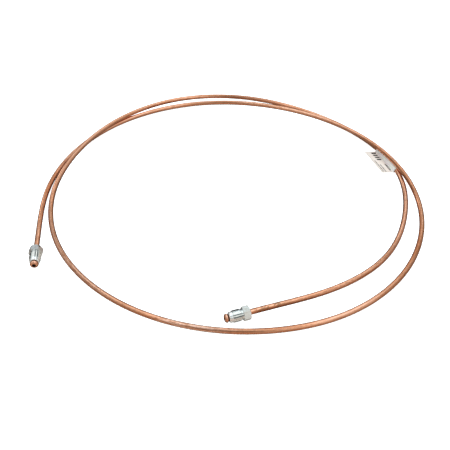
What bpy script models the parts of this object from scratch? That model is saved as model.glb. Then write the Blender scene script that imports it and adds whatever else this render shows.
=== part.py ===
"""A coiled copper brake line with a bubble flare and a steel tube nut on each end.

The line lies on a floor as it comes out of its bag: one and three quarter turns of pipe, the left
end pointing at the viewer and the front end pointing to the left. Where the turns cross, one rests
on the other. A paper flag label is folded round the pipe at the right.
All sizes are in metres, +Z is up, and the floor is at z = 0.
"""

import math

import bmesh
import bpy
import numpy as np
from mathutils import Vector

MM = 0.001

# Pipe
pipe_diameter = 4.75 * MM
pipe_wall = 0.71 * MM
coil_radius = 174.0 * MM
ring_spacing = 16.0 * MM  # distance between the rings of points along the pipe
pipe_sides = 12
spline_steps = 24  # points of the centre line from one station to the next

# Bubble flare on each pipe end
flare_diameter = 7.4 * MM
flare_length = 3.3 * MM
flare_lip_width = 0.35 * MM  # flat ring round the pipe's mouth
flare_wall = 0.85 * MM  # the pressed wall at the crown

# The flare's two profiles from the tip: share of its length, share of the way out to the crown
flare_outside = ((0.0, 0.0), (0.10, 0.45), (0.27, 0.80), (0.48, 1.0), (0.68, 1.0))
flare_inside = ((0.0, 0.0), (0.25, 0.0), (0.45, 1.0), (0.66, 1.0), (0.90, 0.0))
flare_back = (0.85, 0.5)  # behind the crown: share of the length, share of the way from the pipe out

# Tube nut, M10 x 1 male thread, 11 mm across the flats
thread_diameter = 9.9 * MM
nose_diameter = 8.8 * MM  # plain lead in front of the thread
nose_length = 2.8 * MM
nose_chamfer = 0.8 * MM
relief_diameter = 8.4 * MM  # groove between the thread and the hexagon
relief_length = 1.6 * MM
shank_length = 11.5 * MM
hexagon_flats = 11.0 * MM
hexagon_length = 5.6 * MM
hexagon_chamfer = 0.6 * MM
hexagon_face_inset = 0.12 * MM  # the turned end faces stop this far inside the flats
nut_bore_clearance = 0.3 * MM  # on the radius, round the pipe
nut_flare_gap = 0.3 * MM  # between the nut's nose and the back of the flare
nut_sides = 32

# Folded paper label
paper_thickness = 0.12 * MM
label_clearance = 0.2 * MM  # on the radius, round the pipe
label_length = 39.5 * MM
label_width = 16.5 * MM  # from the pipe's axis to the flag's free edge
label_rise = 11.0  # degrees that the flag rises towards the middle of the coil
label_turn = 514.5  # where the label begins, in degrees of turn
label_arc_steps = 16
label_grip = 10.0  # degrees above the flag's direction where the upper leaf leaves the pipe

# Where the turns cross, the upper one clears the lower one and the label on it
crossing_gap = 0.3 * MM
straight_run = 34.0 * MM  # from each tip to where the pipe starts to bend

# How the pipe lies: each end's turn in degrees, its distance outside coil_radius in coil steps and
# the heading from its tip into the pipe; then the stations between. Turns run clockwise from the
# left, seen from above. A station's last value is its lift off the floor, as a share of one crossing.
coil_step = 1.0 * MM
left_end = (-32.4, 23.4, 97.5)
front_end = (632.3, -8.9, 19.0)
stations = (
    (0, 4.0, 0.30),
    (24, 4.5, 0.03),
    (48, 4.5, 0.04),
    (72, 1.0, 0.22),
    (96, -5.0, 0.50),
    (120, -8.5, 0.81),
    (144, -7.0, 1.06),
    (168, -2.0, 1.06),
    (192, 4.5, 0.80),
    (216, 8.5, 0.47),
    (240, 7.5, 0.19),
    (264, 2.0, 0.03),
    (288, -1.5, 0.04),
    (312, -3.0, 0.16),
    (336, -3.0, 0.40),
    (360, -3.5, 0.71),
    (384, -2.5, 1.00),
    (408, 4.5, 1.00),
    (432, 11.5, 0.72),
    (456, 9.0, 0.42),
    (480, 1.5, 0.18),
    (504, -1.0, 0.08),
    (528, -2.5, 0.07),
    (552, -9.5, 0.09),
    (576, -13.0, 0.22),
    (600, -19.0, 0.44),
)

pipe_radius = pipe_diameter / 2
bore_radius = pipe_radius - pipe_wall
wrap_radius = pipe_radius + label_clearance  # inside of the paper round the pipe
crossing_rise = pipe_diameter + label_clearance + paper_thickness + crossing_gap
nut_seat = flare_length + nut_flare_gap  # from the pipe's tip to the nut's nose


def material(name, colour, metallic, roughness):
    mat = bpy.data.materials.new(name)
    mat.use_nodes = True
    shader = mat.node_tree.nodes["Principled BSDF"]
    shader.inputs["Base Color"].default_value = (*colour, 1)
    shader.inputs["Metallic"].default_value = metallic
    shader.inputs["Roughness"].default_value = roughness
    return mat


def add_object(name, bm, mat, parent, sharp_angle=40):
    mesh = bpy.data.meshes.new(name)
    bmesh.ops.recalc_face_normals(bm, faces=bm.faces[:])
    bm.to_mesh(mesh)
    bm.free()
    mesh.shade_smooth()
    mesh.set_sharp_from_angle(angle=math.radians(sharp_angle))
    mesh.materials.append(mat)
    obj = bpy.data.objects.new(name, mesh)
    bpy.context.scene.collection.objects.link(obj)
    obj.parent = parent
    return obj


def polar(turn, outside, height):
    angle = math.radians(180 - turn)
    radius = coil_radius + outside * coil_step
    return np.array([radius * math.cos(angle), radius * math.sin(angle), height])


def direction(heading):
    return np.array([math.cos(math.radians(heading)), math.sin(math.radians(heading)), 0.0])


def clamped_spline(points, first_direction, last_direction):
    """Points along the smooth curve through `points` that starts and ends in the given directions."""
    spans = np.linalg.norm(np.diff(points, axis=0), axis=1)
    count = len(points)
    system = np.zeros((count, count))
    slopes = np.zeros((count, 3))
    system[0, 0] = system[-1, -1] = 1
    slopes[0], slopes[-1] = first_direction, last_direction
    for i in range(1, count - 1):
        before, after = spans[i - 1], spans[i]
        system[i, i - 1 : i + 2] = after, 2 * (before + after), before
        chord_before = (points[i] - points[i - 1]) / before
        chord_after = (points[i + 1] - points[i]) / after
        slopes[i] = 3 * (after * chord_before + before * chord_after)
    slopes = np.linalg.solve(system, slopes)
    curve = []
    for i in range(count - 1):
        for t in np.linspace(0, 1, spline_steps, endpoint=False):
            curve.append(
                (2 * t**3 - 3 * t**2 + 1) * points[i]
                + (3 * t**2 - 2 * t**3) * points[i + 1]
                + spans[i] * (t**3 - 2 * t**2 + t) * slopes[i]
                + spans[i] * (t**3 - t**2) * slopes[i + 1]
            )
    return np.array(curve + [points[-1]])


def pipe_route():
    """The pipe's centre line from the left tip to the front tip, and the distance along it.

    The nuts lie on a flat, which sets the height of the two tips.
    """
    left_tip = polar(left_end[0], left_end[1], hexagon_flats / 2)
    front_tip = polar(front_end[0], front_end[1], hexagon_flats / 2)
    left_way, front_way = direction(left_end[2]), direction(front_end[2])
    points = [left_tip + straight_run * left_way]
    points += [polar(turn, outside, pipe_radius + lift * crossing_rise) for turn, outside, lift in stations]
    points.append(front_tip + straight_run * front_way)
    curve = clamped_spline(np.array(points), left_way, -front_way)
    line = np.vstack([[left_tip], curve, [front_tip]])
    steps = np.linalg.norm(np.diff(line, axis=0), axis=1)
    return line, np.concatenate([[0], np.cumsum(steps)])


def point_at(line, along, distance):
    return np.array([np.interp(distance, along, line[:, axis]) for axis in range(3)])


def level_frame(line, along, distance):
    """Centre, sideways and upward directions of the pipe at a distance along its centre line."""
    reach = pipe_radius / 2
    low, high = max(distance - reach, 0), min(distance + reach, along[-1])
    ahead = point_at(line, along, high) - point_at(line, along, low)
    side = np.cross(ahead, (0, 0, 1))
    side /= np.linalg.norm(side)
    top = np.cross(side, ahead)
    return point_at(line, along, distance), side, top / np.linalg.norm(top)


def ring_distances(length):
    """Where the plain pipe has its rings, from behind one flare to behind the other."""
    plain = length - 2 * flare_length
    return np.linspace(flare_length, length - flare_length, math.ceil(plain / ring_spacing) + 1)


def flare_rings():
    """The flare's outside and inside as (distance from the tip, radius), tip first.

    The bubble is the pipe's own wall pressed outwards, so its inside follows its outside.
    """
    crown = flare_diameter / 2
    lip = bore_radius + flare_lip_width
    hollow = crown - flare_wall
    outside = [(d * flare_length, lip + out * (crown - lip)) for d, out in flare_outside]
    d, out = flare_back
    outside.append((d * flare_length, pipe_radius + out * (crown - pipe_radius)))
    inside = [(d * flare_length, bore_radius + out * (hollow - bore_radius)) for d, out in flare_inside]
    return outside, inside


def sweep_rings(bm, line, along, rings):
    """Closed skin through rings of points; the last ring joins the first."""
    angles = [2 * math.pi * k / pipe_sides for k in range(pipe_sides)]
    loops = []
    for distance, radius in rings:
        centre, side, top = level_frame(line, along, distance)
        spokes = [math.cos(a) * side + math.sin(a) * top for a in angles]
        loops.append([bm.verts.new(centre + radius * spoke) for spoke in spokes])
    for here, there in zip(loops, loops[1:] + loops[:1]):
        for k in range(pipe_sides):
            j = (k + 1) % pipe_sides
            bm.faces.new((here[k], here[j], there[j], there[k]))


def make_pipe(line, along, mat, parent):
    length = along[-1]
    plain = ring_distances(length)
    outside, inside = flare_rings()
    rings = [*outside, *((d, pipe_radius) for d in plain)]
    rings += [(length - d, r) for d, r in reversed(outside)]
    rings += [(length - d, r) for d, r in inside]
    rings += [*((d, bore_radius) for d in plain[::-1]), *reversed(inside)]
    bm = bmesh.new()
    sweep_rings(bm, line, along, rings)
    return add_object("brake_pipe", bm, mat, parent)


def make_nut(name, tip, heading, mat, parent):
    """A turned blank cut to a hexagon; its local +Z points out of the line, from its nose."""
    bore = pipe_radius + nut_bore_clearance
    nose, thread, relief = nose_diameter / 2, thread_diameter / 2, relief_diameter / 2
    corner = hexagon_flats / math.sqrt(3)
    face = hexagon_flats / 2 - hexagon_face_inset
    back = -(shank_length + hexagon_length)
    step = thread - nose
    groove = thread - relief
    profile = (
        (bore, 0),
        (nose - nose_chamfer, 0),
        (nose, -nose_chamfer),
        (nose, -nose_length),
        (thread, -nose_length - step),
        (thread, -shank_length + relief_length + groove),
        (relief, -shank_length + relief_length),
        (relief, -shank_length),
        (face, -shank_length),
        (corner, -shank_length - hexagon_chamfer),
        (corner, back + hexagon_chamfer),
        (face, back),
        (bore, back),
    )
    bm = bmesh.new()
    loop = [bm.verts.new((r, 0, z)) for r, z in profile]
    edges = [bm.edges.new((a, b)) for a, b in zip(loop, loop[1:] + loop[:1])]
    bmesh.ops.spin(
        bm,
        geom=loop + edges,
        axis=(0, 0, 1),
        cent=(0, 0, 0),
        angle=2 * math.pi,
        steps=nut_sides,
        use_merge=True,
    )
    nut = add_object(name, bm, mat, parent, sharp_angle=25)

    bm = bmesh.new()
    guide_depth = 3 * (shank_length + hexagon_length)
    bmesh.ops.create_cone(
        bm, cap_ends=True, segments=6, radius1=corner, radius2=corner, depth=guide_depth
    )
    hexagon = add_object(name + "_hexagon_guide", bm, mat, nut)
    hexagon.hide_render = True
    hexagon.display_type = "WIRE"
    cut = nut.modifiers.new("hexagon", "BOOLEAN")
    cut.operation = "INTERSECT"
    cut.solver = "EXACT"
    cut.object = hexagon

    nut.location = Vector(tip + nut_seat * direction(heading))
    nut.rotation_euler = (0, math.pi / 2, math.radians(heading + 180))
    return nut


def label_section(width):
    """The folded paper's section, its flag along +x up to `width`: points, end faces and walls.

    The lower leaf runs straight on from under the pipe; the upper leaf goes over the pipe and comes
    down on it.
    """
    grip = math.radians(label_grip)
    outer_radius = wrap_radius + paper_thickness
    angles = np.linspace(grip, 1.5 * math.pi, label_arc_steps + 1)
    inner = [(wrap_radius * math.cos(a), wrap_radius * math.sin(a)) for a in angles]
    outer = [(outer_radius * math.cos(a), outer_radius * math.sin(a)) for a in angles]
    upper_face = paper_thickness - wrap_radius
    fold = wrap_radius * (1 + math.sin(grip)) / math.cos(grip)
    root = (outer_radius - upper_face * math.sin(grip)) / math.cos(grip)
    corners = [(fold, -wrap_radius), (root, upper_face), (width, upper_face), (width, -outer_radius)]
    n = len(inner)
    apex, high_root, high_edge, low_edge = range(2 * n, 2 * n + 4)
    faces = [(i, i + 1, n + i + 1, n + i) for i in range(n - 1)]
    faces += [(apex, 0, n, high_root), (n - 1, apex, high_root, high_edge, low_edge, 2 * n - 1)]
    walls = [(i, i + 1) for i in range(n - 1)] + [(n - 1, apex), (apex, 0)]
    walls += [(n + i, n + i + 1) for i in range(n - 1)]
    walls += [(2 * n - 1, low_edge), (low_edge, high_edge), (high_edge, high_root), (high_root, n)]
    return inner + outer + corners, faces, walls


def make_label(line, along, mat, parent):
    """The wrap follows the pipe's own rings, so that it stays clear all along; the flag is flat."""
    angles = np.degrees(np.unwrap(np.arctan2(line[:, 1], line[:, 0])))
    start = np.interp(label_turn, left_end[0] + angles[0] - angles, along)
    end = start + label_length
    plain = ring_distances(along[-1])
    bends = np.array([point_at(line, along, d) for d in plain])
    rings = [start, *(d for d in plain if start < d < end), end]
    centres = [point_at(bends, plain, d) for d in rings]
    _, side, top = level_frame(line, along, (start + end) / 2)
    rise = math.radians(label_rise)
    out = math.cos(rise) * side + math.sin(rise) * top
    over = math.cos(rise) * top - math.sin(rise) * side
    bm = bmesh.new()
    loops = []
    for centre in centres:
        width = label_width - np.dot(centre - centres[0], out)
        points, caps, walls = label_section(width)
        loops.append([bm.verts.new(centre + x * out + y * over) for x, y in points])
    for here, there in zip(loops, loops[1:]):
        for a, b in walls:
            bm.faces.new((here[a], here[b], there[b], there[a]))
    for loop in (loops[0], loops[-1]):
        for corners in caps:
            bm.faces.new([loop[i] for i in corners])
    return add_object("flag_label", bm, mat, parent)


def stand_on_floor(root):
    """Moves the whole line so that its box stands on the floor, centred on the origin."""
    bpy.context.view_layer.update()
    graph = bpy.context.evaluated_depsgraph_get()
    corners = []
    for obj in bpy.context.scene.objects:
        if obj.type == "MESH" and not obj.hide_render:
            placed = obj.evaluated_get(graph)
            corners += [placed.matrix_world @ v.co for v in placed.data.vertices]
    low = Vector(min(c[k] for c in corners) for k in range(3))
    high = Vector(max(c[k] for c in corners) for k in range(3))
    root.location -= Vector(((low.x + high.x) / 2, (low.y + high.y) / 2, low.z))


def main():
    for obj in list(bpy.data.objects):
        bpy.data.objects.remove(obj, do_unlink=True)

    copper = material("copper", (0.72, 0.42, 0.27), 1.0, 0.32)
    zinc = material("zinc", (0.74, 0.77, 0.77), 1.0, 0.28)
    paper = material("paper", (0.86, 0.84, 0.81), 0.0, 0.6)

    root = bpy.data.objects.new("brake_line", None)
    bpy.context.scene.collection.objects.link(root)

    line, along = pipe_route()
    make_pipe(line, along, copper, root)
    make_nut("left_tube_nut", line[0], left_end[2], zinc, root)
    make_nut("front_tube_nut", line[-1], front_end[2], zinc, root)
    make_label(line, along, paper, root)
    stand_on_floor(root)


main()
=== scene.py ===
"""The looks of a coiled copper brake line with a tube nut on each end and a paper flag label.

The pipe is swept along its route with smooth flares, the tube nuts get their threads, grooves and
chamfers, and the label is a folded strip with plain print. All sizes are in metres, +Z is up.
"""

import math

import bmesh
import bpy
import numpy as np
from mathutils import Euler, Matrix, Vector


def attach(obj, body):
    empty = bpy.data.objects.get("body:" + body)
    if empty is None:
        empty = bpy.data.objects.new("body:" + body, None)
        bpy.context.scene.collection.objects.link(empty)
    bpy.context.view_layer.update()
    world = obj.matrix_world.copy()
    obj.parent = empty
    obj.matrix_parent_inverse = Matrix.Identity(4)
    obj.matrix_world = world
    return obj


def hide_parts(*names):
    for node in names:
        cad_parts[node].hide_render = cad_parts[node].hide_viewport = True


MM = 0.001

# Pipe and its route, as in the solids
pipe_diameter = 4.75 * MM
pipe_wall = 0.71 * MM
coil_radius = 174.0 * MM
coil_step = 1.0 * MM
coil_middle = (1.07 * MM, -4.84 * MM)  # the coil's own zero in the frame
crossing_rise = 5.37 * MM
straight_run = 34.0 * MM
# Each end's turn, its steps outside coil_radius and the heading from its tip into the pipe
left_end = (-32.4, 23.4, 97.5)
front_end = (632.3, -8.9, 19.0)
stations = (  # turn, steps outside coil_radius, lift as a share of one crossing
    (0, 4.0, 0.30),
    (24, 4.5, 0.03),
    (48, 4.5, 0.04),
    (72, 1.0, 0.22),
    (96, -5.0, 0.50),
    (120, -8.5, 0.81),
    (144, -7.0, 1.06),
    (168, -2.0, 1.06),
    (192, 4.5, 0.80),
    (216, 8.5, 0.47),
    (240, 7.5, 0.19),
    (264, 2.0, 0.03),
    (288, -1.5, 0.04),
    (312, -3.0, 0.16),
    (336, -3.0, 0.40),
    (360, -3.5, 0.71),
    (384, -2.5, 1.00),
    (408, 4.5, 1.00),
    (432, 11.5, 0.72),
    (456, 9.0, 0.42),
    (480, 1.5, 0.18),
    (504, -1.0, 0.08),
    (528, -2.5, 0.07),
    (552, -9.5, 0.09),
    (576, -13.0, 0.22),
    (600, -19.0, 0.44),
)
spline_steps = 72  # points of the centre line from one station to the next
pipe_sides = 32
outer_ring_spacing = 1.5 * MM
inner_ring_spacing = 6.0 * MM

# Flare
flare_diameter = 7.4 * MM
flare_length = 3.3 * MM
flare_gap = 0.3 * MM  # between the back of the flare and the nut
flare_lip_width = 0.35 * MM
flare_wall = 0.85 * MM

# Tube nut, M10 x 1
thread_diameter = 9.9 * MM
thread_pitch = 1.0 * MM
thread_depth = 0.38 * MM
thread_crest = 0.40 * MM  # flat, rounded a little by the plating
thread_flank = 30.0  # degrees from square to the axis
rows_per_turn = 14
nose_diameter = 8.8 * MM
nose_length = 2.8 * MM
nose_chamfer = 0.8 * MM
mouth_diameter = 6.7 * MM  # countersink that the flare sits in
mouth_depth = 0.6 * MM
relief_diameter = 8.4 * MM
relief_length = 1.6 * MM
shank_length = 11.5 * MM
hexagon_flats = 11.0 * MM
hexagon_length = 5.6 * MM
hexagon_chamfer = 0.6 * MM
hexagon_face_inset = 0.12 * MM
hexagon_corner_radius = 0.35 * MM
nut_bore_clearance = 0.3 * MM
edge_round = 0.12 * MM
# Painted reflections: light and dark streaks along the barrels
barrel_reflections = (  # degrees round the barrel, half width, brightness, share
    (-56.0, 21.0, 0.04, 0.95),
    (-14.0, 18.0, 1.00, 0.90),
    (5.0, 8.0, 0.12, 0.85),
    (15.0, 6.0, 1.00, 0.90),
    (27.0, 8.0, 0.10, 0.85),
    (58.0, 26.0, 1.00, 0.85),
    (76.0, 7.0, 0.25, 0.50),
)
# Painted shade: a dark spot near the back edge of the left nut's hexagon
shade_spot_place = (-4.7 * MM, 3.9 * MM, -16.2 * MM)
barrel_metal = 0.75
# Degrees that the painted reflection streaks are turned by, share of the painted shade spot, the
# hexagon's colour and its metal share
left_nut_looks = (9.0, 1.0, (0.385, 0.375, 0.37), 0.80)
front_nut_looks = (31.0, 0.0, (0.49, 0.485, 0.445), 0.60)

# Label
paper_thickness = 0.12 * MM
label_clearance = 0.2 * MM
label_length = 39.5 * MM
label_width = 16.5 * MM
label_rise = 11.0  # degrees that the flag rises towards the middle of the coil
label_turn = 514.5  # where the label begins, in degrees of turn
label_grip = 10.0  # degrees above the flag's direction where the upper leaf leaves the pipe
leaf_gap = 0.01 * MM
far_corner_radius = 0.5 * MM  # the free edge's corner where the label starts
near_corner_radius = 2.0 * MM  # and where it ends
label_wave = 0.10 * MM

# The label's print as boxes, in mm: from left to right along the pipe, from near to far from it
wide_bars = tuple((left, left + 2.4, 4.2, 9.6) for left in (2.2, 6.2, 10.2, 14.2))
fine_bars = ((24.0, 36.2, 3.4, 5.6),)
ruled_lines = ((17.6, 37.4, 12.7, 14.0), (25.0, 37.8, 10.1, 11.4))

# Copper's tone along the pipe: brown marks are tarnish; the bright marks and the pale one at 965 mm
# are painted highlights, and at the crossings they are painted light against the shade the strands
# cast on each other
fresh, aged, bright = (0.97, 0.47, 0.29), (0.85, 0.34, 0.17), (1.0, 0.54, 0.35)
pale, brown, lit_copper = (1.0, 0.66, 0.52), (0.70, 0.26, 0.11), (1.0, 0.50, 0.32)
full_share = 0.4  # share of a mark's half width that it covers in full
copper_tones_and_highlights = (  # distance from the left tip and half width, both in mm, colour, share
    (90, 60, brown, 0.45),
    (205, 75, bright, 0.90),
    (360, 45, brown, 0.85),
    (440, 55, bright, 0.80),
    (490, 40, bright, 0.50),
    (640, 100, brown, 0.65),
    (740, 25, brown, 0.50),
    (790, 35, brown, 0.75),
    (840, 35, bright, 0.60),
    (903, 40, brown, 1.0),
    # painted highlight
    (965, 34, (1.0, 0.68, 0.54), 0.85),
    (1022, 30, brown, 0.65),
    (1100, 75, pale, 0.50),
    (1275, 80, bright, 0.90),
    (1400, 35, brown, 0.65),
    (1440, 30, fresh, 0.60),
    (1505, 48, (0.42, 0.12, 0.035), 1.0),
    (1625, 40, bright, 0.90),
    (1800, 70, pale, 0.40),
    (1920, 60, brown, 0.30),
)
# Painted light: stretches lightened where the strands shade each other at the crossings or catch a
# highlight
lit_stretches = (  # distance from the left tip and half width, both in mm, share
    (225, 75, 0.70),
    (510, 60, 0.35),
    (840, 40, 0.40),
    (1270, 85, 0.65),
    (1625, 45, 0.85),
    (1810, 40, 0.40),
)

# Camera, measured from the coil's own zero
camera_height = 383.0 * MM
camera_right = -6.0 * MM
camera_back = -502.44 * MM
camera_tilt = 50.0  # degrees from straight down
camera_lens = 52.0
camera_sensor = 36.0

# Studio
fill_power = 14.0
front_fill_power = 8.0
floor_half_width = 30.0
floor_glow = 0.80
# Each wall's brightness as a sum of smooth runs: from one height to another, with the brightness
# that each run adds at both, where a height of 1 is straight up
side_walls = (
    (-1.0, -0.7, 0.15, 0.34),
    (-0.6, -0.1, 0.0, -0.08),
    (0.1, 0.65, 0.0, 0.26),
    (0.64, 0.95, 0.0, 0.60),
    (0.95, 1.0, 0.0, -0.25),
)
back_wall = (
    (-1.0, -0.7, 0.15, 0.34),
    (-0.4, -0.1, 0.0, 0.07),
    (0.1, 0.6, 0.0, 0.13),
    (0.64, 0.86, 0.0, 0.58),
    (0.92, 1.0, 0.0, -0.52),
)
front_wall = (
    (-1.0, -0.75, 0.15, 0.50),
    (-0.55, 0.0, 0.0, -0.15),
    (0.28, 0.6, 0.0, 0.40),
    (0.82, 0.94, 0.0, 0.10),
    (0.94, 1.0, 0.0, -0.20),
)
studio_panels = (  # direction, cosines of the edge's inner and outer angle, brightness
    ((0.81, -0.47, 0.34), 0.966, 0.643, 0.17),
    ((0.00, 0.98, 0.17), 0.985, 0.819, 0.08),
    ((-0.42, -0.60, 0.68), 0.996, 0.930, 0.22),
    ((-0.75, 0.63, 0.17), 0.994, 0.906, -0.08),
    ((0.32, -0.56, 0.77), 0.997, 0.961, 0.15),
    ((-0.18, -0.68, 0.71), 0.985, 0.87, -0.42),
    ((-0.50, 0.77, 0.40), 0.9985, 0.994, 1.80),
    ((0.17, 0.77, 0.62), 0.9992, 0.997, 1.60),
    ((0.20, 0.00, 0.98), 0.998, 0.970, 0.28),
    ((-0.12, -0.14, 0.98), 0.998, 0.980, -0.20),
    ((-0.70, -0.70, 0.05), 0.97, 0.65, 0.09),
    ((0.26, -0.97, 0.00), 0.97, 0.82, 0.08),
)

pipe_radius = pipe_diameter / 2
bore_radius = pipe_radius - pipe_wall
wrap_radius = pipe_radius + label_clearance
nut_seat = flare_length + flare_gap
back_face = -(shank_length + hexagon_length)


class Wire:
    """A socket of a node tree. Sums on it add the nodes that work them out."""

    def __init__(self, tree, socket):
        self.tree = tree
        self.socket = socket

    def node(self, kind, settings=None, output=0, **inputs):
        """Adds a node: first its settings, then its sockets, by name or as i0, i1 and so on."""
        new = self.tree.nodes.new(kind)
        for key, value in (settings or {}).items():
            setattr(new, key, value)
        for key, value in inputs.items():
            slot = int(key[1:]) if key[1:].isdigit() else key.replace("_", " ")
            if isinstance(value, Wire):
                self.tree.links.new(value.socket, new.inputs[slot])
            else:
                new.inputs[slot].default_value = value
        return Wire(self.tree, new.outputs[output])

    def math(self, operation, *values):
        """The operation on the given values, or on this value alone."""
        sockets = {f"i{k}": value for k, value in enumerate(values or (self,))}
        return self.node("ShaderNodeMath", {"operation": operation}, **sockets)

    def __add__(self, other):
        return self.math("ADD", self, other)

    def __sub__(self, other):
        return self.math("SUBTRACT", self, other)

    def __rsub__(self, other):
        return self.math("SUBTRACT", other, self)

    def __mul__(self, other):
        return self.math("MULTIPLY", self, other)

    def __truediv__(self, other):
        return self.math("DIVIDE", self, other)

    def __pow__(self, other):
        return self.math("POWER", self, other)

    def __gt__(self, other):
        return self.math("GREATER_THAN", self, other)

    def __lt__(self, other):
        return self.math("LESS_THAN", self, other)

    __radd__ = __add__
    __rmul__ = __mul__

    def span(self, low, high, start=0.0, end=1.0):
        """Runs smoothly from start to end as this value goes from low to high."""
        kind = {"interpolation_type": "SMOOTHSTEP"}
        limits = {"From_Min": low, "From_Max": high, "To_Min": start, "To_Max": end}
        return self.node("ShaderNodeMapRange", kind, Value=self, **limits)

    def near(self, middle, half_width):
        """1 around the middle, running out to 0 at the half width."""
        off = (self - middle).math("ABSOLUTE")
        return off.span(half_width, full_share * half_width)

    def mix(self, first, second):
        """The first colour where this value is 0, the second where it is 1."""
        colours = {"i6": rgba(first), "i7": rgba(second)}
        return self.node("ShaderNodeMix", {"data_type": "RGBA"}, output=2, Factor=self, **colours)

    def toward(self, way):
        """How far this direction points the same way, 1 at most."""
        length = math.sqrt(sum(value**2 for value in way))
        way = tuple(value / length for value in way)
        kind = {"operation": "DOT_PRODUCT"}
        return self.node("ShaderNodeVectorMath", kind, output=1, i0=self, i1=way)

    def part(self, axis):
        return self.node("ShaderNodeSeparateXYZ", output="XYZ".index(axis), Vector=self)

    def stretch(self, x, y, z):
        """This place with its three directions scaled."""
        kind = {"operation": "MULTIPLY"}
        return self.node("ShaderNodeVectorMath", kind, i0=self, i1=(x, y, z))

    def noise(self, scale, detail, roughness=0.5):
        sockets = {"Vector": self, "Scale": scale, "Detail": detail, "Roughness": roughness}
        return self.node("ShaderNodeTexNoise", {"noise_dimensions": "3D"}, **sockets)

    def bump(self, distance, strength, before=None):
        inputs = {"Height": self, "Distance": distance, "Strength": strength}
        if before is not None:
            inputs["Normal"] = before
        return self.node("ShaderNodeBump", **inputs)


def rgba(colour):
    return colour if isinstance(colour, Wire) or len(colour) == 4 else (*colour, 1.0)


def new_material(name, **constants):
    """A material with its shader's constants set, and a wire to start its nodes from."""
    made = bpy.data.materials.new(name)
    made.use_nodes = True
    shader = made.node_tree.nodes["Principled BSDF"]
    for key, value in constants.items():
        shader.inputs[key.replace("_", " ")].default_value = value
    return made, shader, Wire(made.node_tree, None)


def feed(shader, **wires):
    for key, wire in wires.items():
        wire.tree.links.new(wire.socket, shader.inputs[key.replace("_", " ")])


def copper_finish(length):
    """Drawn copper: fine lines along the pipe, patches of tarnish, grip marks behind the front nut,
    and painted highlights and painted shade.
    """
    made, shader, start = new_material("drawn_copper", Metallic=1.0)
    kind = {"attribute_name": "pipe_place"}
    place = start.node("ShaderNodeAttribute", kind, output=1)
    along, across, over = place.part("X"), place.part("Y"), place.part("Z")
    inside = (across * across + over * over).span(0.81, 0.30)
    lines = place.stretch(14.0, 9.0, 9.0).noise(1.0, 3.0)
    fine = place.stretch(60.0, 26.0, 26.0).noise(1.0, 2.0)
    patches = place.stretch(30.0, 1.1, 1.1).noise(1.0, 4.0, 0.6)
    blots = place.stretch(150.0, 1.6, 1.6).noise(1.0, 2.0)
    spots = place.stretch(420.0, 2.6, 2.6).noise(1.0, 2.0)
    scuffs = place.stretch(90.0, 5.0, 5.0).noise(1.0, 3.0).span(0.62, 0.72)

    tarnish = patches.span(0.38, 0.62)
    colour = tarnish.mix(fresh, aged)
    # Tarnish tones, plus painted highlights and painted light at the crossings
    for middle, half_width, tone, share in copper_tones_and_highlights:
        colour = (along.near(middle * MM, half_width * MM) * share).mix(colour, tone)
    colour = (blots.span(0.50, 0.64) * 0.90).mix(colour, (0.52, 0.19, 0.085))
    colour = (spots.span(0.52, 0.64) * 0.85).mix(colour, (0.42, 0.16, 0.075))
    colour = (lines.span(0.44, 0.64) * 0.70).mix(colour, (1.0, 0.58, 0.40))
    colour = (lines.span(0.54, 0.32) * 0.85).mix(colour, (0.50, 0.19, 0.085))
    # Painted light: these stretches are lightened
    for middle, half_width, share in lit_stretches:
        colour = (along.near(middle * MM, half_width * MM) * share).mix(colour, lit_copper)
    colour = (scuffs * 0.45).mix(colour, (0.96, 0.68, 0.54))

    from_front = length - along
    grip_zone = from_front.span(22 * MM, 28 * MM) * from_front.span(58 * MM, 44 * MM)
    slanting = (along + across * 4 * MM) * 300.0
    slant = start.node("ShaderNodeCombineXYZ", X=slanting, Y=over * 1.3, Z=across * 0.7)
    grip = slant.noise(1.0, 2.0).span(0.46, 0.55) * grip_zone
    colour = (grip * 0.85).mix(colour, (0.34, 0.17, 0.09))
    # Painted shade: the pipe's low side is darker from 20 to 105 mm behind the front tip
    low_side = (across * -0.64 - over * 0.77).span(-0.25, 0.55)
    low_side_shade = low_side * from_front.span(20 * MM, 28 * MM) * from_front.span(105 * MM, 55 * MM)
    colour = (low_side_shade * 0.85).mix(colour, (0.30, 0.10, 0.04))
    from_end = along.math("MINIMUM", along, from_front)
    # Painted highlight: the flares are lighter
    on_flare = from_end.span(flare_length, 0.8 * flare_length)
    colour = (on_flare * 0.6).mix(colour, (1.0, 0.54, 0.37))
    # Painted shade: a dark ring on the pipe just behind each flare, by the nut's mouth
    neck_shade = from_end.span(0.75 * flare_length, flare_length) * from_end.span(6.0 * MM, 4.5 * MM)
    colour = (neck_shade * 0.75).mix(colour, (0.16, 0.075, 0.05))
    # Painted shade: the bore is near black inside
    colour = inside.mix(colour, (0.020, 0.008, 0.006))

    roughness = lines.span(0.2, 0.8, 0.06, 0.13) + tarnish * 0.05 + scuffs * 0.10
    roughness = roughness + grip * 0.12 + inside * 0.3
    height = lines * 0.5 + fine * 0.5
    normal = grip.bump(0.05 * MM, 0.6, height.bump(0.01 * MM, 0.6))
    feed(shader, Base_Color=colour, Roughness=roughness, Normal=normal)
    return made


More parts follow.
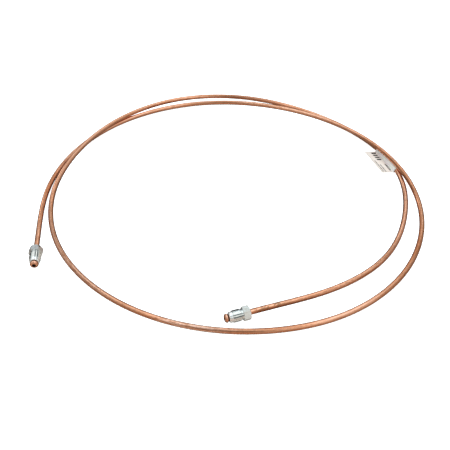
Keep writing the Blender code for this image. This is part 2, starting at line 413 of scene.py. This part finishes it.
def zinc_finish(name, reflection_turn, shade_spot_strength, hexagon_colour, hexagon_metal):
    """Bright zinc plate on turned steel: turning marks, painted reflection streaks along the barrel,
    and painted light and shade.
    """
    made, shader, start = new_material(name)
    place = start.node("ShaderNodeTexCoord", output=3)
    x, y, z = place.part("X"), place.part("Y"), place.part("Z")
    radius = (x * x + y * y) ** 0.5
    turn = y.math("ARCTAN2", y, x * -1.0) * math.degrees(1) - reflection_turn
    cloud = place.noise(420.0, 3.0)
    tint = place.stretch(1.0, 1.0, 0.4).noise(260.0, 1.0)
    turning = (z * 9000.0 + cloud * 2.0).math("SINE")
    grain = place.stretch(1.0, 1.0, 0.08).noise(6500.0, 2.0)
    drawn = place.stretch(1.0, 1.0, 0.04).noise(900.0, 2.0)
    on_hexagon, on_nose = z < -shank_length, z > -nose_length
    on_barrel = z > -shank_length
    in_thread = on_barrel * (z < -nose_length)

    colour = tint.span(0.40, 0.60).mix((0.66, 0.74, 0.76), (0.71, 0.77, 0.75))
    colour = (cloud.span(0.52, 0.74) * 0.35).mix(colour, (0.50, 0.54, 0.55))
    colour = (drawn.span(0.50, 0.70) * on_barrel * 0.5).mix(colour, (0.42, 0.45, 0.46))
    # Painted reflections along the barrel
    for middle, half_width, shine, share in barrel_reflections:
        reflection = turn.near(middle, half_width) * on_barrel * share
        colour = reflection.mix(colour, (shine, shine * 0.99, shine * 0.93))
    colour = (on_nose * 0.6).mix(colour, (0.93, 0.95, 0.94))
    shade = cloud.span(0.40, 0.60, 0.55, 1.0)
    colour = (on_hexagon * shade).mix(colour, hexagon_colour)
    # Painted light: the hexagon is lighter on one side
    painted_lit_side = y.span(2.0 * MM, 4.5 * MM) * on_hexagon
    colour = (painted_lit_side * 0.55).mix(colour, (0.82, 0.82, 0.78))
    crest = thread_diameter / 2
    groove = radius.span(crest - thread_depth, crest - 0.1 * MM, 1.0, 0.0)
    colour = (in_thread * groove * 0.25).mix(colour, (0.36, 0.38, 0.37))
    kind = {"operation": "DISTANCE"}
    off = place.node("ShaderNodeVectorMath", kind, output=1, i0=place, i1=shade_spot_place)
    # Painted shade: a dark spot near the hexagon's back edge
    colour = (off.span(1.8 * MM, 1.0 * MM) * shade_spot_strength).mix(colour, (0.055, 0.035, 0.025))
    # Painted shade: the nut's mouth and bore at the nose are near black
    in_bore = radius.span(mouth_diameter / 2, pipe_radius + nut_bore_clearance) * on_nose
    colour = (in_bore * 0.9).mix(colour, (0.04, 0.04, 0.04))
    roughness = cloud.span(0.3, 0.7, 0.12, 0.22) + in_thread * groove * 0.12 + on_hexagon * 0.22
    normal = turning.bump(0.002 * MM, 0.4, grain.bump(0.006 * MM, 0.4))
    metal = on_hexagon.span(0.0, 1.0, barrel_metal, hexagon_metal)
    feed(shader, Base_Color=colour, Metallic=metal, Roughness=roughness, Normal=normal)
    return made


def printed(x, y, boxes):
    """1 inside the boxes, which are in mm on the unrolled label."""
    first, *others = [
        (x > left * MM) * (x < right * MM) * (y > near * MM) * (y < far * MM)
        for left, right, near, far in boxes
    ]
    return sum(others, first)


def label_finish():
    """White label paper with a film over the fold, and plain bars and ruled lines for print."""
    made, shader, start = new_material("label_paper", Coat_Roughness=0.2, Specular_IOR_Level=0.15)
    kind = {"attribute_name": "paper_place"}
    place = start.node("ShaderNodeAttribute", kind, output=1)
    x, y, face = place.part("X"), place.part("Y"), place.part("Z")
    fibres = place.noise(2600.0, 4.0, 0.65)
    clouds = place.noise(160.0, 2.0)
    colour = clouds.span(0.35, 0.65).mix((0.68, 0.60, 0.54), (0.69, 0.63, 0.575))
    colour = (fibres.span(0.45, 0.75) * 0.25).mix(colour, (0.60, 0.54, 0.49))
    # Painted shade: the label's free edge and both ends are darker
    shaded_edge = y.span(14.1 * MM, 15.2 * MM) + x.span(1.8 * MM, 0.9 * MM)
    shaded_edge = shaded_edge + x.span(37.7 * MM, 38.6 * MM)
    colour = (shaded_edge * 0.60).mix(colour, (0.50, 0.46, 0.42))
    on_fold = y.span(3.4 * MM, 3.0 * MM)
    film = clouds.span(0.42, 0.58).mix((0.61, 0.58, 0.59), (0.62, 0.65, 0.60))
    colour = (on_fold * 0.85).mix(colour, film)

    words = place.stretch(1.0, 0.0, 0.0).noise(1000.0, 1.0) > 0.43
    stripes = place.stretch(1.0, 0.0, 0.0).noise(2200.0, 0.0) > 0.47
    lines = printed(x, y, ruled_lines)
    ink = printed(x, y, fine_bars) * stripes + printed(x, y, wide_bars)
    colour = (lines * words * 0.85).mix(colour, (0.06, 0.05, 0.05))
    colour = ((ink > 0.5) * face).mix(colour, (0.006, 0.006, 0.008))
    roughness = fibres.span(0.3, 0.7, 0.42, 0.56) - on_fold * 0.12
    normal = fibres.bump(0.01 * MM, 0.4)
    feed(shader, Base_Color=colour, Roughness=roughness, Coat_Weight=on_fold * 0.5, Normal=normal)
    return made


def floor_finish():
    glow = {"Emission_Color": (1, 1, 1, 1), "Emission_Strength": floor_glow}
    made, shader, start = new_material("pale_floor", Roughness=0.6, Specular_IOR_Level=0.2, **glow)
    place = start.node("ShaderNodeTexCoord", output=3)
    grain = place.noise(30.0, 3.0)
    feed(shader, Base_Color=grain.span(0.3, 0.7).mix((0.93, 0.93, 0.93), (0.95, 0.95, 0.95)))
    return made


def polar(turn, outside, height):
    angle = math.radians(180 - turn)
    radius = coil_radius + outside * coil_step
    return np.array([radius * math.cos(angle), radius * math.sin(angle), height])


def direction(heading):
    return np.array([math.cos(math.radians(heading)), math.sin(math.radians(heading)), 0.0])


def clamped_spline(points, first_direction, last_direction):
    """The smooth curve through the points that starts and ends in the given directions."""
    spans = np.linalg.norm(np.diff(points, axis=0), axis=1)
    count = len(points)
    system = np.zeros((count, count))
    slopes = np.zeros((count, 3))
    system[0, 0] = system[-1, -1] = 1
    slopes[0], slopes[-1] = first_direction, last_direction
    for i in range(1, count - 1):
        before, after = spans[i - 1], spans[i]
        system[i, i - 1 : i + 2] = after, 2 * (before + after), before
        chord_before = (points[i] - points[i - 1]) / before
        chord_after = (points[i + 1] - points[i]) / after
        slopes[i] = 3 * (after * chord_before + before * chord_after)
    slopes = np.linalg.solve(system, slopes)
    t = np.linspace(0, 1, spline_steps, endpoint=False)[:, None]
    curve = [
        (2 * t**3 - 3 * t**2 + 1) * points[i]
        + (3 * t**2 - 2 * t**3) * points[i + 1]
        + spans[i] * (t**3 - 2 * t**2 + t) * slopes[i]
        + spans[i] * (t**3 - t**2) * slopes[i + 1]
        for i in range(count - 1)
    ]
    return np.vstack([*curve, points[-1:]])


def end_tip(end):
    return polar(end[0], end[1], hexagon_flats / 2)


class Route:
    """The pipe's centre line, with its place and directions at any distance from the left tip."""

    def __init__(self):
        left_way, front_way = direction(left_end[2]), direction(front_end[2])
        points = [end_tip(left_end) + straight_run * left_way]
        for turn, outside, lift in stations:
            points.append(polar(turn, outside, pipe_radius + lift * crossing_rise))
        points.append(end_tip(front_end) + straight_run * front_way)
        curve = clamped_spline(np.array(points), left_way, -front_way)
        runs = np.linspace(0, 1, spline_steps, endpoint=False)[:, None]
        left_run = end_tip(left_end) + runs * straight_run * left_way
        front_run = end_tip(front_end) + runs[:0:-1] * straight_run * front_way
        self.line = np.vstack([left_run, curve, front_run, [end_tip(front_end)]])
        self.line[:, :2] += coil_middle
        steps = np.linalg.norm(np.diff(self.line, axis=0), axis=1)
        self.along = np.concatenate([[0], np.cumsum(steps)])
        self.length = self.along[-1]
        self.ways = np.gradient(self.line, self.along, axis=0)

    def sample(self, values, distances):
        return np.stack([np.interp(distances, self.along, values[:, k]) for k in range(3)], axis=-1)

    def frames(self, distances):
        """Centres, sideways and upward directions at those distances."""
        ways = self.sample(self.ways, distances)
        sides = np.cross(ways, (0, 0, 1))
        sides /= np.linalg.norm(sides, axis=1)[:, None]
        tops = np.cross(sides, ways)
        tops /= np.linalg.norm(tops, axis=1)[:, None]
        return self.sample(self.line, distances), sides, tops

    def distance_at(self, turn):
        own = self.line[:, :2] - coil_middle
        angles = np.degrees(np.unwrap(np.arctan2(own[:, 1], own[:, 0])))
        return float(np.interp(turn, left_end[0] + angles[0] - angles, self.along))


def skin(name, rings, sharp_rings=()):
    """A mesh through rings of points, as rings x sides x 3; the last ring joins the first."""
    count, sides = rings.shape[:2]
    i, k = np.meshgrid(np.arange(count), np.arange(sides), indexing="ij")
    here, there = i * sides, (i + 1) % count * sides
    after = (k + 1) % sides
    quads = np.stack([here + k, here + after, there + after, there + k], axis=-1).reshape(-1, 4)
    mesh = bpy.data.meshes.new(name)
    mesh.from_pydata(rings.reshape(-1, 3).tolist(), [], quads.tolist())
    bm = bmesh.new()
    bm.from_mesh(mesh)
    bmesh.ops.recalc_face_normals(bm, faces=bm.faces[:])
    bm.to_mesh(mesh)
    bm.free()
    mesh.shade_smooth()
    ends = np.empty(len(mesh.edges) * 2, dtype=np.int32)
    mesh.edges.foreach_get("vertices", ends)
    rows = ends.reshape(-1, 2) // sides
    sharp = (rows[:, 0] == rows[:, 1]) & np.isin(rows[:, 0], sharp_rings)
    mesh.edges.foreach_set("use_edge_sharp", sharp)
    return mesh


def keep_places(mesh, name, places):
    """Keeps each point's place on the flat or straight piece, for its material."""
    attribute = mesh.attributes.new(name, "FLOAT_VECTOR", "POINT")
    attribute.data.foreach_set("vector", np.asarray(places, dtype=np.float32).ravel())


def place_piece(name, mesh, material, body, node, matrix=None):
    mesh.materials.append(material)
    piece = bpy.data.objects.new(name, mesh)
    bpy.context.scene.collection.objects.link(piece)
    if matrix is not None:
        piece.matrix_world = matrix
    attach(piece, body)
    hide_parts(node)
    return piece


def cut_corners(points, rounds):
    """The same profile with its corners rounded off; its two ends stay."""
    points = np.array(points)
    for _ in range(rounds):
        first, second = points[:-1], points[1:]
        cut = np.stack([0.75 * first + 0.25 * second, 0.25 * first + 0.75 * second], axis=1)
        cut = cut.reshape(-1, points.shape[1])
        points = np.vstack([points[:1], cut[1:-1], points[-1:]])
    return points


def flare_profile():
    """From deep in the bore, round the lip and back over the bubble, as (distance from the tip,
    radius, 1 inside and 0 outside)."""
    crown, hollow = flare_diameter / 2, flare_diameter / 2 - flare_wall
    lip = bore_radius + flare_lip_width
    end = flare_length
    return cut_corners(
        [
            (1.05 * end, bore_radius, 1),
            (0.90 * end, bore_radius, 1),
            (0.66 * end, hollow, 1),
            (0.45 * end, hollow, 1),
            (0.22 * end, bore_radius, 1),
            (0.03 * end, bore_radius, 1),
            (0.0, bore_radius + 0.2 * flare_lip_width, 0),
            (0.0, lip, 0),
            (0.12 * end, lip + 0.50 * (crown - lip), 0),
            (0.28 * end, lip + 0.83 * (crown - lip), 0),
            (0.46 * end, crown, 0),
            (0.70 * end, crown, 0),
            (0.86 * end, pipe_radius + 0.45 * (crown - pipe_radius), 0),
            (0.98 * end, pipe_radius, 0),
            (1.10 * end, pipe_radius, 0),
        ],
        rounds=2,
    )


def make_pipe(route):
    flare = flare_profile()
    start, end = 1.25 * flare_length, route.length - 1.25 * flare_length
    outer = np.linspace(start, end, math.ceil((end - start) / outer_ring_spacing) + 1)
    inner = np.linspace(end, start, math.ceil((end - start) / inner_ring_spacing) + 1)
    far = flare[::-1] * (-1, 1, 1) + (route.length, 0, 0)
    rings = np.vstack(
        [
            flare,
            np.column_stack([outer, np.full(len(outer), pipe_radius), np.zeros(len(outer))]),
            far,
            np.column_stack([inner, np.full(len(inner), bore_radius), np.ones(len(inner))]),
        ]
    )
    angles = np.arange(pipe_sides) * 2 * math.pi / pipe_sides
    centres, sides, tops = route.frames(rings[:, 0])
    spokes = np.cos(angles)[None, :, None] * sides[:, None]
    spokes = spokes + np.sin(angles)[None, :, None] * tops[:, None]
    mesh = skin("copper_brake_pipe", centres[:, None] + rings[:, 1, None, None] * spokes)
    shares = 1 - 0.5 * rings[:, 2:]
    places = np.empty((len(rings), pipe_sides, 3))
    places[..., 0] = rings[:, 0, None]
    places[..., 1], places[..., 2] = shares * np.cos(angles), shares * np.sin(angles)
    keep_places(mesh, "pipe_place", places)
    material = copper_finish(route.length)
    return place_piece("copper_brake_pipe", mesh, material, "line", "brake_pipe")


def nut_angles():
    """Angles round a nut, closer together at the hexagon's rounded corners."""
    even = np.arange(0, 360, 5.0)
    steps = (-2.2, -1.4, -0.7, 0.7, 1.4, 2.2)
    near_corners = [30 + 60 * k + step for k in range(6) for step in steps]
    return np.radians(np.sort(np.concatenate([even, near_corners])))


def hexagon_radius(angles):
    """The hexagon's radius at each angle, with a small arc at each corner."""
    half, round_off = hexagon_flats / 2, hexagon_corner_radius
    corner = math.radians(30)  # from the middle of a flat
    off = np.radians(np.abs((np.degrees(angles) % 60) - 30))  # from the nearest corner
    centre = (half - round_off) / math.cos(corner)
    edge = math.atan2(round_off * math.sin(corner), centre + round_off * math.cos(corner))
    flat = half / np.cos(corner - off)
    arc = centre * np.cos(off)
    arc = arc + np.sqrt(np.maximum(round_off**2 - (centre * np.sin(off)) ** 2, 0))
    return np.where(off < edge, arc, flat)


def thread_radius(angles, height):
    """The right-handed thread's radius round the nut at one height, with its run-outs."""
    share = (height / thread_pitch + angles / (2 * math.pi)) % 1.0
    from_crest = np.abs(share - 0.5) * thread_pitch
    flank = (from_crest - thread_crest / 2) / math.tan(math.radians(thread_flank))
    radius = thread_diameter / 2 - np.clip(flank, 0, thread_depth)
    lead_in = nose_diameter / 2 + (-nose_length - height)
    run_out = relief_diameter / 2 + (height + shank_length - relief_length)
    return np.minimum(radius, min(lead_in, run_out))


def nut_rings():
    """Rings of a nut from its bore's mouth over the outside and back through the bore."""
    angles = nut_angles()
    bore = pipe_radius + nut_bore_clearance
    nose, relief = nose_diameter / 2, relief_diameter / 2
    face = hexagon_flats / 2 - hexagon_face_inset
    hexagon = hexagon_radius(angles)
    depth = (hexagon - face) * hexagon_chamfer / (hexagon_flats / math.sqrt(3) - face)
    front = [
        (bore, -mouth_depth - edge_round),
        (bore + edge_round, -mouth_depth),
        (mouth_diameter / 2 - edge_round / 2, -edge_round / 2),
        (mouth_diameter / 2 + edge_round / 2, 0),
        (nose - nose_chamfer - edge_round, 0),
        (nose - nose_chamfer + edge_round, -edge_round),
        (nose - edge_round, -nose_chamfer + edge_round),
        (nose, -nose_chamfer - edge_round),
        (nose, -nose_length + edge_round),
    ]
    thread_end = -shank_length + relief_length
    count = math.ceil((-nose_length - thread_end) / thread_pitch * rows_per_turn)
    heights = np.linspace(-nose_length, thread_end, count)[1:-1]
    thread = [(thread_radius(angles, height), height) for height in heights]
    groove = [
        (relief, thread_end - edge_round),
        (relief, -shank_length + 2 * edge_round),
        (relief + 0.3 * edge_round, -shank_length + edge_round),
        (relief + edge_round, -shank_length + 0.3 * edge_round),
        (relief + 2 * edge_round, -shank_length),
        (face - edge_round / 2, -shank_length),
    ]
    block = [
        (np.full_like(angles, face), -shank_length - 0.2 * depth),
        (hexagon, -shank_length - depth),
        (hexagon, back_face + depth),
        (np.full_like(angles, face), back_face + 0.2 * depth),
    ]
    back = [
        (face - edge_round / 2, back_face),
        (bore + 3 * edge_round, back_face),
        (bore + edge_round, back_face + 0.5 * edge_round),
        (bore, back_face + 2 * edge_round),
    ]
    rows = [*front, *thread, *groove, *block, *back]
    rings = np.empty((len(rows), len(angles), 3))
    for ring, (radius, height) in zip(rings, rows):
        ring[:, 0], ring[:, 1] = radius * np.cos(angles), radius * np.sin(angles)
        ring[:, 2] = height
    first_block = len(front) + len(thread) + len(groove)
    return rings, (first_block + 1, first_block + 2)


def make_nut(name, end, body, node, material):
    rings, sharp = nut_rings()
    mesh = skin(name, rings, sharp)
    seat = end_tip(end) + nut_seat * direction(end[2])
    seat[:2] += coil_middle
    turn = Euler((0, math.pi / 2, math.radians(end[2] + 180))).to_matrix().to_4x4()
    matrix = Matrix.Translation(Vector(seat)) @ turn
    return place_piece(name, mesh, material, body, node, matrix)


def strip_section(width, lift):
    """The folded strip's closed outline as (out, over), how far out each point is once unrolled,
    and whether it is on the upper face."""
    grip = math.radians(label_grip)
    outer_radius = wrap_radius + paper_thickness
    arc = np.linspace(grip, 1.5 * math.pi, 33)
    upper_face = paper_thickness - wrap_radius
    join = wrap_radius * (1 + math.sin(grip)) / math.cos(grip)
    root = (outer_radius - upper_face * math.sin(grip)) / math.cos(grip)
    share = np.linspace(0, 1, 21)[:, None]

    def leaf(start, height):
        flag = np.hstack([start + share * (width - start), np.full_like(share, height)])
        flag[:, 1] += lift * np.clip((flag[:, 0] - wrap_radius) / label_width, 0, 1) ** 2
        return flag

    outer = np.column_stack([outer_radius * np.cos(arc), outer_radius * np.sin(arc)])
    inner = np.column_stack([wrap_radius * np.cos(arc), wrap_radius * np.sin(arc)])
    top_side = leaf(root, upper_face)[::-1]
    low_side = leaf(join * 0.2, -outer_radius)
    low_inside = leaf(join, -wrap_radius - leaf_gap / 2)[::-1]
    high_inside = leaf(join, -wrap_radius + leaf_gap / 2)
    outline = np.vstack([top_side, outer, low_side, low_inside, inner[::-1], high_inside])
    fold = root - outer_radius * (arc - grip) - (outer[0, 1] - upper_face)
    hidden = np.full(len(outline) - len(top_side) - len(fold), -1.0)
    unrolled = np.concatenate([top_side[:, 0], fold, hidden])
    return outline, unrolled, unrolled > fold[-1]


def corner_cut(distance, radius):
    """How far a rounded corner draws the free edge in, at a distance from the strip's end."""
    inside = max(radius - distance, 0)
    return radius - math.sqrt(max(radius**2 - inside**2, 0))


def make_label(route):
    start = route.distance_at(label_turn)
    centre, sides, tops = route.frames(np.array([start + label_length / 2]))
    rise = math.radians(label_rise)
    out = math.cos(rise) * sides[0] + math.sin(rise) * tops[0]
    over = math.cos(rise) * tops[0] - math.sin(rise) * sides[0]
    shares = (0, 0.01, 0.03, 0.06, 0.1, 0.16, 0.24, 0.34, 0.5, 0.7, 0.9)
    ends = np.array(shares) * near_corner_radius
    middle = np.linspace(near_corner_radius, label_length - near_corner_radius, 25)
    places = np.concatenate([ends, middle, label_length - ends[::-1]])
    centres = route.frames(start + places)[0]
    ahead = np.cross(over, out)
    rings, papers = [], []
    for place, centre in zip(places, centres):
        own = centre - centres[0]
        cut = corner_cut(place, far_corner_radius)
        cut += corner_cut(label_length - place, near_corner_radius)
        width = label_width - np.dot(own, out) - cut
        lift = label_wave * math.sin(2 * math.pi * place / label_length)
        section, unrolled, upper = strip_section(width, lift)
        rings.append(centre + section[:, :1] * out + section[:, 1:] * over)
        from_axis = np.where(unrolled > wrap_radius, unrolled + np.dot(own, out), unrolled)
        from_start = np.full(len(section), np.dot(own, ahead))
        papers.append(np.column_stack([from_start, from_axis, upper]))
    mesh = strip_mesh("flag_label_paper", np.array(rings))
    keep_places(mesh, "paper_place", papers)
    paper = label_finish()
    return place_piece("flag_label_paper", mesh, paper, "line", "flag_label")


def strip_mesh(name, rings):
    """Closed skin through the sections, with each end filled between its outer and inner face."""
    count, points = rings.shape[:2]
    bm = bmesh.new()
    loops = [[bm.verts.new(p) for p in ring] for ring in rings]
    for here, there in zip(loops, loops[1:]):
        for k in range(points):
            j = (k + 1) % points
            bm.faces.new((here[k], here[j], there[j], there[k]))
    half = points // 2
    for loop in (loops[0], loops[-1]):
        for k in range(half - 1):
            bm.faces.new((loop[k], loop[k + 1], loop[-2 - k], loop[-1 - k]))
    bmesh.ops.recalc_face_normals(bm, faces=bm.faces[:])
    mesh = bpy.data.meshes.new(name)
    bm.to_mesh(mesh)
    bm.free()
    mesh.shade_smooth()
    mesh.set_sharp_from_angle(angle=math.radians(40))
    return mesh


def make_floor():
    far = floor_half_width
    corners = [(-far, -far, 0), (far, -far, 0), (far, far, 0), (-far, far, 0)]
    mesh = bpy.data.meshes.new("floor")
    mesh.from_pydata(corners, [], [(0, 1, 2, 3)])
    mesh.materials.append(floor_finish())
    floor = bpy.data.objects.new("floor", mesh)
    bpy.context.scene.collection.objects.link(floor)
    floor.visible_glossy = False


def area_light(name, place, size, power):
    """A square light that shines on the coil's middle and that only matt surfaces pick up."""
    data = bpy.data.lights.new(name, "AREA")
    data.shape = "SQUARE"
    data.size = size
    data.energy = power
    light = bpy.data.objects.new(name, data)
    bpy.context.scene.collection.objects.link(light)
    light.location = place
    light.rotation_mode = "QUATERNION"
    light.rotation_quaternion = Vector(place).to_track_quat("Z", "Y")
    light.visible_glossy = False


def make_studio():
    """A soft room, brightest high at the back, and two lights that fill in matt surfaces."""
    world = bpy.data.worlds.new("studio")
    world.use_nodes = True
    bpy.context.scene.world = world
    background = world.node_tree.nodes["Background"]
    look = Wire(world.node_tree, None).node("ShaderNodeTexCoord", output=0)
    depth, height = look.part("Y"), look.part("Z")

    def wall(runs):
        first, *others = [height.span(*run) for run in runs]
        return sum(others, first)

    sides, back, front = wall(side_walls), wall(back_wall), wall(front_wall)
    flat = 1 - height * height
    level = flat.math("MAXIMUM", flat, 0.0001) ** 0.5
    at_back = (depth / level).span(0.62, 0.95)
    at_front = (depth / level).span(-0.4, -0.9)
    glow = sides * (1 - at_back) * (1 - at_front) + back * at_back + front * at_front
    for way, narrow, wide, gain in studio_panels:
        glow = glow + look.toward(way).span(wide, narrow) * gain
    low_at_back = look.toward((0, 0.77, -0.64))  # what the pieces' edges mirror
    glow = glow * low_at_back.span(0.45, 0.88, 1.12, 0.22)
    colour = height.span(-0.1, 0.6).mix((1.0, 0.85, 0.70), (1.0, 1.05, 1.05))
    colour = height.span(0.6, 0.9).mix(colour, (1.0, 1.13, 1.22))
    world.node_tree.links.new(colour.socket, background.inputs["Color"])
    world.node_tree.links.new(glow.socket, background.inputs["Strength"])
    area_light("fill", (0, 0.1, 1.4), 1.6, fill_power)
    area_light("front_fill", (-0.7, -0.9, 0.5), 0.8, front_fill_power)


def make_camera():
    data = bpy.data.cameras.new("camera")
    data.lens = camera_lens
    data.sensor_width = camera_sensor
    camera = bpy.data.objects.new("camera", data)
    bpy.context.scene.collection.objects.link(camera)
    x, y = coil_middle
    camera.location = (x + camera_right, y + camera_back, camera_height)
    camera.rotation_euler = (math.radians(camera_tilt), 0, 0)
    bpy.context.scene.camera = camera


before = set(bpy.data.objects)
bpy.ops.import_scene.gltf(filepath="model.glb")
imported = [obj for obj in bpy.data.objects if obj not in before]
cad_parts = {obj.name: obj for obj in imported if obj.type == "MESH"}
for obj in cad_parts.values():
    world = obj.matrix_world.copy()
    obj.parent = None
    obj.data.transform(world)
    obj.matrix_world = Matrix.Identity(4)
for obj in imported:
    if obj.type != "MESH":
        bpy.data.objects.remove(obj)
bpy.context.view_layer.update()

make_camera()
route = Route()
make_pipe(route)
left_zinc = zinc_finish("bright_zinc_left", *left_nut_looks)
front_zinc = zinc_finish("bright_zinc_front", *front_nut_looks)
make_nut("left_tube_nut_threaded", left_end, "left_nut", "left_tube_nut", left_zinc)
make_nut("front_tube_nut_threaded", front_end, "front_nut", "front_tube_nut", front_zinc)
make_label(route)
make_floor()
make_studio()
bpy.context.scene.view_settings.view_transform = "Standard"
